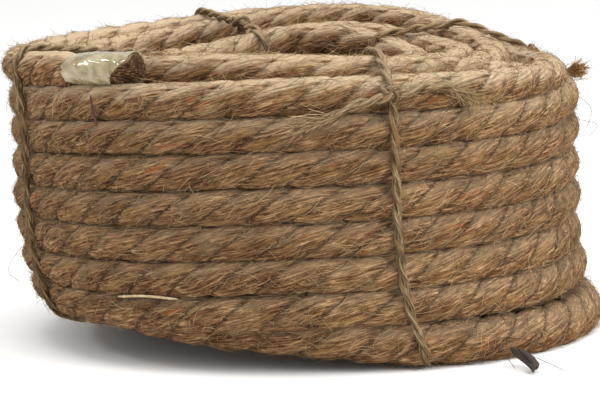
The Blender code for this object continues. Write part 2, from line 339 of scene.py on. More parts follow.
def give(obj, name, values):
    """Stores a value or a vector for each point, for the materials to read."""
    values = np.asarray(values, np.float32)
    kind, key = ("FLOAT", "value") if values.ndim == 1 else ("FLOAT_VECTOR", "vector")
    attribute = obj.data.attributes.new(name, kind, "POINT")
    attribute.data.foreach_set(key, values.ravel())


def corners_of(mesh):
    """The point at each corner of each face."""
    corner = np.empty(len(mesh.loops), np.int32)
    mesh.loops.foreach_get("vertex_index", corner)
    return corner


def give_uv(mesh, places):
    mesh.uv_layers.new(name="OFBake").data.foreach_set("uv", places.astype(np.float32).ravel())


def tube_faces(rings, sides, copies=1):
    """Quads round tubes of this many rings, and the triangles that close their ends on two added points."""
    ring = np.arange(rings - 1)[:, None] * sides
    side = np.arange(sides)
    after = (side + 1) % sides
    quads = np.stack([ring + side, ring + sides + side, ring + sides + after, ring + after], axis=-1)
    first, last = rings * sides, rings * sides + 1
    ends = (rings - 1) * sides
    caps = np.concatenate([
        np.stack([np.full(sides, first), side, after], axis=-1),
        np.stack([np.full(sides, last), ends + after, ends + side], axis=-1),
    ])
    shift = (np.arange(copies) * (rings * sides + 2))[:, None, None]
    return (quads.reshape(-1, 4)[None] + shift).reshape(-1, 4), (caps[None] + shift).reshape(-1, 3)


def strip_uv(obj, length, girth, along, turn):
    """Unrolls a long tube into stacked strips that fill the square, so that a bake has even detail."""
    strips = max(1, round(math.sqrt(length / girth)))
    mesh = obj.data
    corner = corners_of(mesh)
    starts, totals = (np.empty(len(mesh.polygons), np.int32) for _ in range(2))
    mesh.polygons.foreach_get("loop_start", starts)
    mesh.polygons.foreach_get("loop_total", totals)
    owner = np.repeat(np.arange(len(starts)), totals)
    lowest = np.minimum.reduceat(along[corner], starts)[owner]
    strip = np.clip(np.floor(lowest / length * strips), 0, strips - 1)
    u = along[corner] / length * strips - strip
    v = turn[corner]
    wrapped = (np.maximum.reduceat(v, starts)[owner] - v) > 0.5
    v = np.where(wrapped, v + 1.0, v)
    v = (strip + 0.03 + 0.94 * np.clip(v, 0, 1)) / strips
    give_uv(mesh, np.stack([np.clip(u, 0, 1.02) * 0.96 + 0.01, v], -1))


def laid_mesh(name, surface, ends, fibre, groove, places, start, end, girth):
    """A closed tube from a grid of points (along x round), with what the jute material and a bake need."""
    rings, sides = surface.shape[:2]
    quads, caps = tube_faces(rings, sides)
    made = new_mesh(name, np.concatenate([surface.reshape(-1, 3), ends]), quads, caps)
    tips = np.array([[start, 0, 0], [end, 0, 0]])
    give(made, "fibre", np.concatenate([fibre.reshape(-1, 3), tips]))
    give(made, "groove", np.concatenate([groove.ravel(), [1, 1]]))
    from_start = np.concatenate([places.ravel() - start, [0, end - start]])
    share = np.broadcast_to(np.arange(sides) / sides, groove.shape).ravel()
    strip_uv(made, end - start, girth, from_start, np.concatenate([share, [0.5, 0.5]]))
    return made


def dress(made, look, slot, *replaced, body="coil"):
    """The piece's material, the body that carries it, and the CAD nodes that it stands for; its slot is not
    used.
    """
    made.data.materials.append(look)
    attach(made, body)
    if replaced:
        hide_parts(*replaced)


def section_angles(count, facing, density):
    """Angles round the section, closer together on the side that shows."""
    share = np.arange(count) / count
    spread = share + density * np.sin(TAU * share) / (TAU)
    return np.radians(facing) + TAU * (spread + 0.5)


def stood_on_floor(points, centre):
    """The lowest turns spread where they bear on the floor."""
    height = centre[..., 2]
    bearing = 1 - smoothstep(12 * MM, 18 * MM, height)
    spread = 1 + (np.minimum(height / CREST_R, MOST_SAG) - 1) * bearing
    below = points[..., 2] < height
    lowered = height - (height - points[..., 2]) * spread
    points[..., 2] = np.maximum(np.where(below, lowered, points[..., 2]), 0.15 * MM)
    return points


def under_tape(places):
    """1 where the rope is squeezed by the tape at its ends, 0 elsewhere."""
    bare, taped = TAPE_LENGTH, ROPE.length - TAPE_LENGTH
    inner = 1 - smoothstep(bare - 2 * MM, bare + 5 * MM, places)
    return inner + smoothstep(taped - 5 * MM, taped + 2 * MM, places)


def rope_piece(name, start, end, sides, step, facing, density, slant=0.0):
    """A stretch of the rope between two places along it, its end cut at this slant."""
    rings = max(8, int(round((end - start) / step)) + 1)
    turn = section_angles(sides, facing, density)
    places, angles = np.meshgrid(np.linspace(start, end, rings), turn, indexing="ij")
    share = (places - start) / (end - start)
    places = places + slant * np.cos(angles - np.radians(SLANT_FACING)) * share**4
    reach, groove, across, strand = rope_section(angles, places)
    rng = np.random.default_rng(SEED + int(start * 1000))
    reach = reach + rng.normal(0, 0.045 * MM, reach.shape)
    tight = under_tape(places)
    reach = reach * (1 - tight) + np.minimum(reach, UNDER_TAPE_R) * tight
    points = leaned(stood_on_floor(ROPE.surface(places, angles, reach), ROPE.centre(places)))
    fibre = np.stack([places, across, strand], axis=-1)
    ends = leaned(ROPE.centre(np.array([start, end])))
    return laid_mesh(name, points, ends, fibre, groove, places, start, end, TAU * ROPE_R)


def hairs(name, paths, radii, tones):
    """Thin closed fibres: paths is fibres x points x 3, on the model's frame already."""
    count, steps, _ = paths.shape
    tangent = unit(np.gradient(paths, axis=1))
    side = unit(np.cross(tangent, np.array([0.31, 0.52, 0.79])))
    other = np.cross(tangent, side)
    turn = (np.arange(3) * TAU / 3)[:, None]
    from_tip = np.minimum(np.arange(steps), np.arange(steps)[::-1])
    taper = np.minimum(1.0, from_tip * 0.8 + 0.35)
    wide = radii[:, None, None, None] * taper[None, :, None, None]
    ring = np.cos(turn) * side[:, :, None, :] + np.sin(turn) * other[:, :, None, :]
    points = (paths[:, :, None, :] + wide * ring).reshape(count, -1, 3)
    points = np.concatenate([points, paths[:, :1], paths[:, -1:]], axis=1)
    points[..., 2] = np.maximum(points[..., 2], 0.05 * MM)
    quads, caps = tube_faces(steps, 3, count)
    made = new_mesh(name, points.reshape(-1, 3), quads, caps)
    each = points.shape[1]
    give(made, "tone", np.repeat(tones, each))
    grid = math.ceil(math.sqrt(count))
    fibre, within = np.divmod(corners_of(made.data), each)
    row, column = np.divmod(fibre, grid)
    cell = np.stack([column + 0.25 + 0.5 * (within % 3) / 3, row + 0.25 + 0.5 * within / each], -1)
    give_uv(made.data, cell / grid)
    return made


def rope_hairs(name, start, end, count, facing, spread, seed, lift=(0.2, 1.2), length=(3, 15), wild=0.55,
               thick=(0.05, 0.12), steps=6):
    """Fibres that lie on the rope along its yarns, with their ends standing off."""
    rng = np.random.default_rng(seed)
    share = np.linspace(0, 1, steps)[None, :]
    long = rng.uniform(*length, (count, 1)) * MM
    skew = rng.normal(0.35, wild, (count, 1))
    middle = rng.uniform(start, end, (count, 1))
    angle = np.radians(facing) + rng.uniform(-1, 1, (count, 1)) * np.radians(spread)
    way = rng.choice([-1.0, 1.0], (count, 1))
    run = way * (share - 0.5) * long / np.sqrt(1 + skew**2)
    bend = rng.normal(0, 0.55, (count, 1)) * (share - 0.5) ** 2
    bend = bend + rng.normal(0, 0.05, (count, 1)) * np.sin(9 * share)
    angles = angle + run * skew / (8.3 * MM) + bend
    places = np.clip(middle + run, start, end)
    rise = rng.gamma(1.4, 0.5, (count, 1)) * lift[1] * MM
    base = rng.uniform(0.0, lift[0], (count, 1)) * MM
    curl = rng.normal(0, 0.35, (count, steps)) * MM * share
    reach = np.maximum(rope_section(angles, places)[0], 6.5 * MM)
    reach = reach + base + rise * share**2 * 1.6 + 0.3 * curl
    points = leaned(stood_on_floor(ROPE.surface(places, angles, reach), ROPE.centre(places)))
    made = hairs(name, points, rng.uniform(*thick, count) * MM, rng.uniform(0, 1, count))
    dress(made, HAIR_LOOK, "jute_rope")


# --- materials ---


def nodes_of(name, roughness, shine=0.5, **fixed):
    made = bpy.data.materials.new(name)
    made.use_nodes = True
    tree = made.node_tree
    shader = tree.nodes["Principled BSDF"]
    shader.inputs["Roughness"].default_value = roughness
    shader.inputs["Specular IOR Level"].default_value = shine
    for key, value in fixed.items():
        shader.inputs[key.replace("_", " ").title()].default_value = value
    return made, tree, shader


def add(tree, kind, inputs=None, **settings):
    """A new node with these settings, its inputs (by name or number) linked or set to a value."""
    node = tree.nodes.new(kind)
    for key, value in settings.items():
        setattr(node, key, value)
    for key, value in (inputs or {}).items():
        if isinstance(value, bpy.types.NodeSocket):
            tree.links.new(value, node.inputs[key])
        else:
            node.inputs[key].default_value = value
    return node


def attribute(tree, name, output):
    return add(tree, "ShaderNodeAttribute", attribute_name=name).outputs[output]


def noise(tree, vector, scale=1.0, detail=2.0, roughness=0.5):
    inputs = {"Vector": vector, "Scale": scale, "Detail": detail, "Roughness": roughness}
    return add(tree, "ShaderNodeTexNoise", inputs).outputs["Fac"]


def yarn_noise(tree, scale, detail=2, roughness=0.5):
    """Noise in the rope's own space: along it, across its yarns, from strand to strand."""
    space = attribute(tree, "fibre", "Vector")
    stretched = add(tree, "ShaderNodeVectorMath", {0: space, 1: scale}, operation="MULTIPLY").outputs[0]
    return noise(tree, stretched, 1.0, detail, roughness)


def sums(tree, operation, *values):
    return add(tree, "ShaderNodeMath", dict(enumerate(values)), operation=operation).outputs[0]


def between(tree, value, low, high, to_low=0.0, to_high=1.0):
    inputs = {"Value": value, "From Min": low, "From Max": high, "To Min": to_low, "To Max": to_high}
    return add(tree, "ShaderNodeMapRange", inputs, interpolation_type="SMOOTHSTEP").outputs["Result"]


def mixed(tree, share, first, second, blend="MIX"):
    inputs = {0: share, 6: first, 7: (*second, 1.0) if isinstance(second, tuple) else second}
    return add(tree, "ShaderNodeMix", inputs, data_type="RGBA", blend_type=blend).outputs[2]


def darkened(tree, colour, shade):
    channels = add(tree, "ShaderNodeCombineColor", {0: shade, 1: shade, 2: shade})
    return mixed(tree, 1.0, colour, channels.outputs[0], "MULTIPLY")


def axis_z(tree, vector):
    return add(tree, "ShaderNodeSeparateXYZ", {0: vector}).outputs["Z"]


def ramp(tree, value, stops):
    node = add(tree, "ShaderNodeValToRGB", {0: value})
    elements = node.color_ramp.elements
    while len(elements) < len(stops):
        elements.new(0.5)
    for element, (place, colour) in zip(elements, stops):
        element.position = place
        element.color = (*colour, 1.0)
    return node.outputs[0]


def jute_tone(tree, patch):
    """How light the jute is, from streak to streak and yarn to yarn, and its two sizes of streak."""
    streak = between(tree, yarn_noise(tree, (120, 1050, 7), 4, 0.68), 0.34, 0.66)
    fine = between(tree, yarn_noise(tree, (240, 2000, 5)), 0.3, 0.7)
    yarn = yarn_noise(tree, (16, 430, 5), 1)
    tone = sums(tree, "MULTIPLY_ADD", streak, 0.50, sums(tree, "MULTIPLY", yarn, 0.50))
    tone = sums(tree, "MULTIPLY_ADD", fine, 0.22, tone)
    tone = sums(tree, "MULTIPLY_ADD", patch, 0.45, sums(tree, "ADD", tone, -0.34))
    return tone, streak, fine


def jute(name, stops, painted_groove_shade, bump, flecks, painted_top_light_share):
    """Laid jute: streaks along the yarns, tones that differ between yarns, painted shade in the grooves,
    rusty specks and painted light on the faces that look up.
    """
    made, tree, shader = nodes_of(name, 0.95, shine=0.12)
    position = add(tree, "ShaderNodeTexCoord").outputs["Object"]
    tone, streak, fine = jute_tone(tree, noise(tree, position, 42, 3))
    colour = ramp(tree, tone, stops)
    ochre = between(tree, yarn_noise(tree, (30, 260, 11)), 0.56, 0.70, 0.0, 0.5)
    colour = mixed(tree, ochre, colour, OCHRE)
    rust = between(tree, yarn_noise(tree, (42, 330, 3)), 0.655, 0.72, 0.0, flecks)
    colour = mixed(tree, rust, colour, RUST)
    ash = between(tree, noise(tree, position, 75, 2), 0.58, 0.75, 0.0, 0.4)
    colour = mixed(tree, ash, colour, ASH)
    openings = yarn_noise(tree, (60, 620, 9), 3, 0.6)
    colour = darkened(tree, colour, between(tree, openings, 0.30, 0.42, 0.42, 1.0))
    # Painted shade: the colour is darkened in the grooves between the strands, with an edge made ragged by
    # the streaks.
    ragged = sums(tree, "MULTIPLY_ADD", streak, -0.16, attribute(tree, "groove", "Fac"))
    colour = darkened(tree, colour, between(tree, ragged, 0.62, 0.98, 1.0, painted_groove_shade))
    # Painted light: faces that look up are lightened towards a pale tan, more on the top rows of the coil.
    faces_up = axis_z(tree, add(tree, "ShaderNodeNewGeometry").outputs["Normal"])
    painted_light_height_mask = between(tree, axis_z(tree, position), 0.100, 0.130, 0.3, 1.0)
    top = sums(tree, "MULTIPLY", between(tree, faces_up, 0.05, 0.85, 0.0, painted_top_light_share), painted_light_height_mask)
    colour = mixed(tree, top, colour, PAINTED_TOP_LIGHT)
    tree.links.new(colour, shader.inputs["Base Color"])
    height = sums(tree, "MULTIPLY_ADD", streak, 0.8, sums(tree, "MULTIPLY", fine, 0.5))
    relief = add(tree, "ShaderNodeBump", {"Strength": bump, "Distance": 0.6 * MM, "Height": height})
    tree.links.new(relief.outputs["Normal"], shader.inputs["Normal"])
    return made


def hair_material(name, dark, light):
    """Loose fibres, each of its own tone."""
    made, tree, shader = nodes_of(name, 0.8, shine=0.15)
    middle = tuple((a + b) / 2 for a, b in zip(dark, light))
    colour = ramp(tree, attribute(tree, "tone", "Fac"), [(0.0, dark), (0.55, middle), (1.0, light)])
    tree.links.new(colour, shader.inputs["Base Color"])
    return made


def cloudy(name, roughness, scale, stops, **fixed):
    """A material whose colour drifts between these stops."""
    made, tree, shader = nodes_of(name, roughness, **fixed)
    position = add(tree, "ShaderNodeTexCoord").outputs["Object"]
    tree.links.new(ramp(tree, noise(tree, position, scale, 3), stops), shader.inputs["Base Color"])
    return made


def plain_brown(name, first, second, scale):
    return cloudy(name, 0.9, scale, [(0.3, first), (0.7, second)])


# The last of these colours is the pale tan painted on the coil's top as light, not wear.
OCHRE, RUST, ASH, PAINTED_TOP_LIGHT = (0.33, 0.185, 0.06), (0.30, 0.085, 0.02), (0.21, 0.15, 0.085), (0.60, 0.46, 0.30)
ROPE_STOPS = [
    (0.10, (0.036, 0.012, 0.0035)), (0.34, (0.112, 0.049, 0.017)), (0.54, (0.215, 0.110, 0.047)),
    (0.74, (0.37, 0.215, 0.105)), (1.0, (0.64, 0.45, 0.255)),
]
TWINE_STOPS = [
    (0.10, (0.030, 0.017, 0.007)), (0.36, (0.100, 0.060, 0.026)), (0.62, (0.21, 0.140, 0.070)),
    (1.0, (0.48, 0.37, 0.22)),
]
TAPE_STOPS = [(0.3, (0.20, 0.145, 0.055)), (0.5, (0.36, 0.285, 0.14)), (0.7, (0.52, 0.44, 0.26))]
# Both looks have painted shade in the grooves and painted light on the faces that look up.
ROPE_LOOK = jute("jute_rope", ROPE_STOPS, painted_groove_shade=0.55, bump=0.9, flecks=0.8, painted_top_light_share=0.85)
TWINE_LOOK = jute("jute_twine", TWINE_STOPS, painted_groove_shade=0.5, bump=0.8, flecks=0.15, painted_top_light_share=0.3)
HAIR_LOOK = hair_material("jute_hair", (0.06, 0.028, 0.010), (0.55, 0.38, 0.20))
TAPE_LOOK = cloudy("clear_tape", 0.12, 160, TAPE_STOPS, alpha=0.66, coat_weight=1.0, coat_roughness=0.05)
CUT_LOOK = plain_brown("cut_jute", (0.028, 0.012, 0.005), (0.10, 0.05, 0.022), 900)
CUT_HAIR_LOOK = hair_material("cut_fibre", (0.030, 0.012, 0.004), (0.34, 0.19, 0.09))
BARK_LOOK = plain_brown("bark", (0.018, 0.012, 0.010), (0.055, 0.038, 0.030), 700)
SHIVE_LOOK = plain_brown("shive", (0.35, 0.24, 0.12), (0.58, 0.45, 0.27), 500)
SPLINTER_LOOK = plain_brown("splinter", (0.055, 0.012, 0.008), (0.12, 0.035, 0.02), 500)
DARK_HAIR_LOOK = hair_material("dark_hair", (0.03, 0.025, 0.03), (0.09, 0.075, 0.08))
BRUSH_LOOK = hair_material("tan_brush", (0.16, 0.07, 0.022), (0.70, 0.46, 0.22))
RUST_HAIR_LOOK = hair_material("rust_hair", (0.20, 0.055, 0.02), (0.46, 0.17, 0.06))


# --- camera ---


def make_camera():
    """A long lens a metre and a half in front, a little above and slightly rolled."""
    camera = placed("camera", bpy.data.cameras.new("camera"))
    distance, elevation, roll = 1.44, math.radians(7.6), math.radians(-1.57)
    camera.data.sensor_width = 36.0
    camera.data.lens = 180.0
    camera.data.clip_start = 0.05
    camera.data.shift_x, camera.data.shift_y = -0.002, -0.012
    back = Vector((0, -math.cos(elevation), math.sin(elevation)))
    camera.location = Vector((AXIS_X, AXIS_Y, COIL_HEIGHT / 2)) + back * distance
    camera.rotation_mode = "QUATERNION"
    camera.rotation_quaternion = (-back).to_track_quat("-Z", "Y") @ Quaternion((0, 0, 1), roll)
    bpy.context.scene.camera = camera


make_camera()


# --- the rope ---

# Places along the rope where its pieces meet.
HOLE_TOP, FIRST_TOP, HIDDEN_END, NEXT_TOP, OUTER_START, TAIL_PLACE = [
    place_of(angle) for angle in (2500, 3260, 7690, 8560, 10770, TAIL_START)
]
OUTER_PIECES = 6
OUTER_EDGES = np.linspace(OUTER_START, TAIL_PLACE, OUTER_PIECES + 1)
# Pieces from the inner end on: name, end, points round the section, step along the rope, the side of the
# section that is finest (degrees: 0 is outwards, 90 is up) and how much finer that side is.
ROPE_PIECES = [
    ("rope_inner_layer", HOLE_TOP, 52, 2.0 * MM, 180, 0.55),
    ("rope_top_of_first_layers", FIRST_TOP, 72, 1.6 * MM, 115, 0.35),
    ("rope_second_and_third_layers", HIDDEN_END, 20, 8 * MM, 0, 0),
    ("rope_top_of_next_layers", NEXT_TOP, 84, 1.5 * MM, 80, 0.4),
    ("rope_fourth_layer", OUTER_START, 30, 4 * MM, 0, 0.3),
    *((f"rope_outer_layer_{i}", OUTER_EDGES[i], 100, 1.35 * MM, 5, 0.6) for i in range(1, OUTER_PIECES)),
    (f"rope_outer_layer_{OUTER_PIECES}", TAIL_PLACE, 100, 1.35 * MM, 35, 0.35),
]
STANDS_FOR = {
    "rope_inner_layer": ("rope_coil", "rope_inner_end"),
    f"rope_outer_layer_{OUTER_PIECES}": ("rope_outer_run",),
}


def declare(start, end):
    """A piece's centreline, running both ways away from the start of the outer layer; the path is worked out
    but not kept.
    """
    count = max(12, int((end - start) / (4 * MM)))
    path = leaned(ROPE.centre(np.linspace(start, end, count))).tolist()
    if end <= OUTER_START:
        path = path[::-1]


def tape_radius(places, angles, share, begin):
    """How far out the tape is: over the strands, creased, puckered, with the step of its last wrap."""
    under = np.minimum(rope_section(angles, places)[0], TAPED_R)
    crease = waves(places + 0.006 * angles, SEED + 21, longest=0.021, shortest=0.003)
    pucker = waves(angles + 40 * places, SEED + 22, longest=1.9, shortest=0.35)
    past_edge = np.mod(angles - 0.9 - 30 * (places - begin), TAU)
    wall = TAPED_R + 0.25 * MM + 0.35 * (under - TAPED_R) + 0.24 * MM * crease + 0.34 * MM * pucker
    wall = wall + 0.35 * MM * smoothstep(0.0, 0.25, past_edge)
    return wall + 0.8 * MM * smoothstep(0.82, 1.0, share) - 0.4 * MM * (1 - share) ** 6


def tape_sleeve(name, end, away, replaced, body):
    """The tape wound round an end of the rope: a thin glossy wall, closed on itself at both rims."""
    sides, rings = 72, 60
    turn = np.arange(sides) * TAU / sides
    share = np.linspace(0, 1, rings)[:, None]
    begin = end + away * TAPE_LENGTH
    angles = turn + 0 * share
    rim = share**3 + 0.45 * (1 - share) ** 3
    ragged = 0.5 * MM * waves(turn, SEED + 20, longest=2.1, shortest=0.5) * (1 - share)
    places = begin + (end - begin) * share - away * SLANT * np.cos(angles - np.radians(SLANT_FACING)) * rim
    places = places + ragged
    wall = tape_radius(places, angles, share, begin)
    outside, inside = (leaned(ROPE.surface(places, angles, radius)) for radius in (wall, wall - TAPE_WALL))
    ring = np.concatenate([outside, inside[::-1]])
    i, j = np.meshgrid(np.arange(len(ring)), np.arange(sides), indexing="ij")
    after, beside = (i + 1) % len(ring), (j + 1) % sides
    quads = np.stack([i * sides + j, after * sides + j, after * sides + beside, i * sides + beside], -1)
    quads = quads.reshape(-1, 4)
    made = new_mesh(name, ring.reshape(-1, 3), quads if away < 0 else quads[:, ::-1])
    dress(made, TAPE_LOOK, "clear_tape", replaced, body=body)
    return made


def cut_face(name, end, away, body):
    """The cut ends of the yarns: a rough brown face at a slant and the fibres that stand on it."""
    rng = np.random.default_rng(SEED + 30)

    def face_point(share_out, angles, proud):
        slant = SLANT * share_out * np.cos(angles - np.radians(SLANT_FACING))
        return ROPE.surface(end - away * (slant + proud), angles, CUT_R * share_out)

    rings, sides = 12, 60
    angles, share = np.meshgrid(np.arange(sides) * TAU / sides, np.linspace(0.04, 1, rings))
    bumps = 0.5 * MM * rng.uniform(0.2, 1, angles.shape) * (1 - share**6)
    front, back = face_point(share, angles, bumps), face_point(share[::-1], angles, -CUT_THICK)
    middle = np.zeros(())
    tips = [face_point(middle, middle, proud) for proud in (0.3 * MM, -CUT_THICK)]
    quads, caps = tube_faces(2 * rings, sides)
    if away > 0:
        quads, caps = quads[:, ::-1], caps[:, ::-1]
    points = leaned(np.concatenate([front.reshape(-1, 3), back.reshape(-1, 3), tips]))
    core = new_mesh(name, points, quads, caps)
    dress(core, CUT_LOOK, "jute_rope", body=body)

    out = np.sqrt(rng.uniform(0, 1, (CUT_FIBRES, 1)))
    angle = rng.uniform(0, TAU, (CUT_FIBRES, 1))
    tall = rng.uniform(0.6, 2.8, (CUT_FIBRES, 1)) * MM
    rise = np.linspace(0, 1, 4)[None, :]
    drift = rng.normal(0, 0.07, (CUT_FIBRES, 1)) * rise
    paths = leaned(face_point(out * (1 + 0.5 * drift), angle + drift, tall * rise - 0.2 * MM))
    radii = rng.uniform(0.16, 0.30, CUT_FIBRES) * MM
    tuft = hairs(f"{name}_fibres", paths, radii, rng.uniform(0, 1, CUT_FIBRES) ** 2)
    dress(tuft, CUT_HAIR_LOOK, "jute_rope", body=body)
    return [core, tuft]


def taped_end(name, end, away, body):
    tape = tape_sleeve(f"{name}_tape_wrap", end, away, f"{name}_tape", body)
    return [tape, *cut_face(f"{name}_cut", end, away, body)]


def make_rope():
    """The rope's pieces, its free end, the tape and the cuts."""
    pieces, start = [], 0.0
    for name, end, *fineness in ROPE_PIECES:
        made = rope_piece(name, start, end, *fineness)
        dress(made, ROPE_LOOK, "jute_rope", *STANDS_FOR.get(name, ()))
        pieces.append((made, start, end))
        start = end
    free_end = rope_piece("rope_tail", TAIL_PLACE, ROPE.length, 100, 1.2 * MM, 45, 0.2, slant=SLANT)
    free_end.data.materials.append(ROPE_LOOK)
    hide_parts("rope_outer_end")
    bend = [place_of(HINGE_ANGLE + side * HINGE_HALF_REACH) for side in (-1, 1)]
    start, end = map(Vector, leaned(ROPE.centre(bend)))
    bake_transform(free_end)
    inner_end = taped_end("inner_end", 0.0, 1.0, "coil")
    outer_end = taped_end("outer_end", ROPE.length, -1.0, "outer_end")
    for index, (made, start, end) in enumerate(pieces):
        declare(start, end)


def make_rope_fuzz():
    """Loose fibres over the parts of the rope that show."""
    long, short = {}, dict(lift=(0.25, 0.9), length=(2, 7), wild=1.3, thick=(0.05, 0.09), steps=4)
    edges = OUTER_EDGES
    # Name, start, end, how many, the side of the section that they are on and how far round, and their kind.
    stretches = [
        ("outer_wall_fuzz_low", edges[0], edges[2], 4300, 0, 85, long),
        ("outer_wall_fuzz_middle", edges[2], edges[4], 4300, 0, 85, long),
        ("outer_wall_fuzz_high", edges[4], edges[6], 4600, 10, 95, long),
        ("outer_wall_nap_low", edges[0], edges[3], 7000, 0, 80, short),
        ("outer_wall_nap_high", edges[3], edges[6], 7600, 10, 90, short),
        ("top_fuzz_outer", HIDDEN_END, NEXT_TOP, 3600, 80, 90, long),
        ("top_nap_outer", HIDDEN_END, NEXT_TOP, 4200, 80, 90, short),
        ("top_fuzz_inner", HOLE_TOP, FIRST_TOP, 2400, 110, 90, long),
        ("hole_fuzz", 0.0, HOLE_TOP, 1200, 180, 80, long),
    ]
    for seed, (*stretch, kind) in enumerate(stretches, 70):
        rope_hairs(*stretch, seed, **kind)


# --- ties ---

# Each tie: its angle outside the coil, its angle in the hole, where its knot sits and how thick its twine is.
TIES = {
    "front_right": (19.0, 36.0, "shoulder", 2.3 * MM),
    "left": (-66.0, -100.0, "hole", TWINE_R),
    "back_left": (-160.0, -168.0, "top", TWINE_R),
    "back_right": (112.0, 140.0, "shoulder", TWINE_R),
}
TAUT_REACH = 7.9 * MM + TWINE_R  # from the centre of a turn to the centre of the twine pulled over it

# Each tie's loose ends: the node, (angle, radius, height) of its route from the knot, the twine's radius, how
# far its tip lifts off the rope, fibres in the frayed tip, share of the route that stands free of the rope,
# how far the fibres splay, the range of their tone and their look.
TAILS = {
    "front_right": [
        ("front_right_tie_left_tail",
         [(16.8, .1372, .1215), (11.5, .1374, .1185), (6.0, .1374, .1145), (1.5, .1372, .1105)],
         2.5 * MM, 1.0 * MM, 190, 0.25, 0.26, (0.1, 0.9), HAIR_LOOK),
        ("front_right_tie_right_tail",
         [(22.5, .1372, .1240), (27.0, .1376, .1260), (31.5, .1378, .1240), (35.5, .1376, .1195)],
         2.3 * MM, 1.5 * MM, 190, 0.25, 0.28, (0.1, 0.9), HAIR_LOOK),
    ],
    "left": [
        ("left_tie_tail", [(-106.5, .0545, .0880), (-111.0, .0542, .0800), (-114.0, .0542, .0705)],
         2.0 * MM, 1.0 * MM, 60, 0.0, 0.3, (0.1, 0.9), HAIR_LOOK),
    ],
    "back_left": [
        ("back_left_tie_tail", [(-166.0, .0940, .1325), (-168.5, .1040, .1340), (-171.0, .1130, .1335)],
         2.2 * MM, 1.0 * MM, 420, 0.0, 0.34, (0.6, 1.0), HAIR_LOOK),
    ],
    "back_right": [
        ("back_right_tie_tail", [(107.4, .1372, .1150), (103.5, .1385, .1150), (100.0, .1400, .1170)],
         2.9 * MM, 2.0 * MM, 420, 0.5, 0.17, (0.2, 1.0), BRUSH_LOOK),
    ],
}


def crossings(outer_angle, inner_angle):
    """Where the rope crosses the upright plane of a tie: (distance outwards in the plane, height)."""
    outside = upright(outer_angle, COIL_OUTER_R, 0.0)
    inside = upright(inner_angle, COIL_INNER_R, 0.0)
    along = unit(outside - inside)
    across = np.array([-along[1], along[0], 0.0])
    off = (ROPE.points - inside) @ across
    hit = np.nonzero(np.sign(off[:-1]) != np.sign(off[1:]))[0]
    share = off[hit] / (off[hit] - off[hit + 1])
    places = ROPE.points[hit] + share[:, None] * (ROPE.points[hit + 1] - ROPE.points[hit])
    distance = (places - inside) @ along
    kept = (distance > -0.03) & (distance < 0.12)
    return inside, along, distance[kept], places[kept, 2]


def hull(points):
    """The convex outline of points in a plane, anticlockwise."""
    points = points[np.lexsort((points[:, 1], points[:, 0]))]

    def chain(ordered):
        kept = []
        for p in ordered:
            while len(kept) > 1:
                a, b = kept[-2], kept[-1]
                if (b[0] - a[0]) * (p[1] - a[1]) - (b[1] - a[1]) * (p[0] - a[0]) > 0:
                    break
                kept.pop()
            kept.append(p)
        return kept[:-1]

    return np.array(chain(points) + chain(points[::-1]))


def taut_loop(outer_angle, inner_angle):
    """The closed line of twine pulled tight round the rope's turns in one upright plane."""
    inside, along, distance, height = crossings(outer_angle, inner_angle)
    turn = np.linspace(0, TAU, 40, endpoint=False)
    rings = [distance[:, None] + TAUT_REACH * np.cos(turn), height[:, None] + TAUT_REACH * np.sin(turn)]
    edge = hull(np.stack(rings, -1).reshape(-1, 2))
    edge[:, 1] = np.maximum(edge[:, 1], TWINE_R + 0.2 * MM)
    closed = np.concatenate([edge, edge[:1]])
    steps = lengths_along(closed)
    flat = sampled(np.arange(0.0, steps[-1], 1.0 * MM), steps, closed)
    size = 5
    for i in range(2):
        wrapped = np.concatenate([flat[-size:, i], flat[:, i], flat[:size, i]])
        flat[:, i] = np.convolve(wrapped, np.ones(size) / size, mode="same")[size:-size]
    return in_plane(flat, along, inside), flat, along


def in_plane(flat, along, origin=0.0):
    """Points of a tie's upright plane, given as (distance outwards, height)."""
    return origin + flat[:, :1] * along + flat[:, 1:] * np.array([0.0, 0.0, 1.0])


def twine(name, points, out, replaced, radius, lay, seed, taper=0.0):
    """Twine of two plies along these upright points."""
    line = Line(points, out)
    rings = max(8, int(line.length / TWINE_STEP))
    turn = np.arange(TWINE_SIDES) * TAU / TWINE_SIDES
    places, angles = np.meshgrid(np.linspace(0, line.length, rings), turn, indexing="ij")
    reach, groove, across, strand = laid_section(
        angles, places, TWINE_PLIES, radius * 0.56, radius * 0.47, lay, seed
    )
    rng = np.random.default_rng(seed)
    reach = reach * (1 + 0.10 * waves(places, seed + 1, longest=0.05, shortest=0.006))
    reach += rng.normal(0, 0.09 * MM, reach.shape)
    reach *= 1 - taper * smoothstep(0.7, 1.0, places / line.length)
    surface = leaned(line.surface(places, angles, reach))
    fibre = np.stack([places, across + 0.3 * places, strand], axis=-1)
    ends = leaned(line.points[[0, -1]])
    made = laid_mesh(name, surface, ends, fibre, groove, places, 0.0, line.length, TAU * radius)
    dress(made, TWINE_LOOK, "jute_twine", replaced)


def twine_fuzz(name, points, count, seed, length=(3, 11), lift=1.2):
    """Short fibres standing off a line of twine."""
    rng = np.random.default_rng(seed)
    pick = rng.integers(1, len(points) - 1, count)
    tangent = unit(np.gradient(points, axis=0))[pick]
    side = unit(np.cross(tangent, rng.normal(0, 1, (count, 3))))
    share = np.linspace(0, 1, 5)[None, :, None]
    long = rng.uniform(*length, (count, 1, 1)) * MM
    way = rng.choice([-1.0, 1.0], (count, 1, 1))
    rise = (rng.gamma(1.5, 0.5, (count, 1, 1)) * lift) * MM
    bend = rng.normal(0, 0.5, (count, 1, 3)) * MM
    off = side[:, None] * (1.575 * MM + rise * share**1.5)
    paths = points[pick][:, None] + off + tangent[:, None] * way * long * share + bend * share**2
    made = hairs(name, leaned(paths), rng.uniform(0.04, 0.075, count) * MM, rng.uniform(0, 1, count))
    dress(made, HAIR_LOOK, "jute_twine")


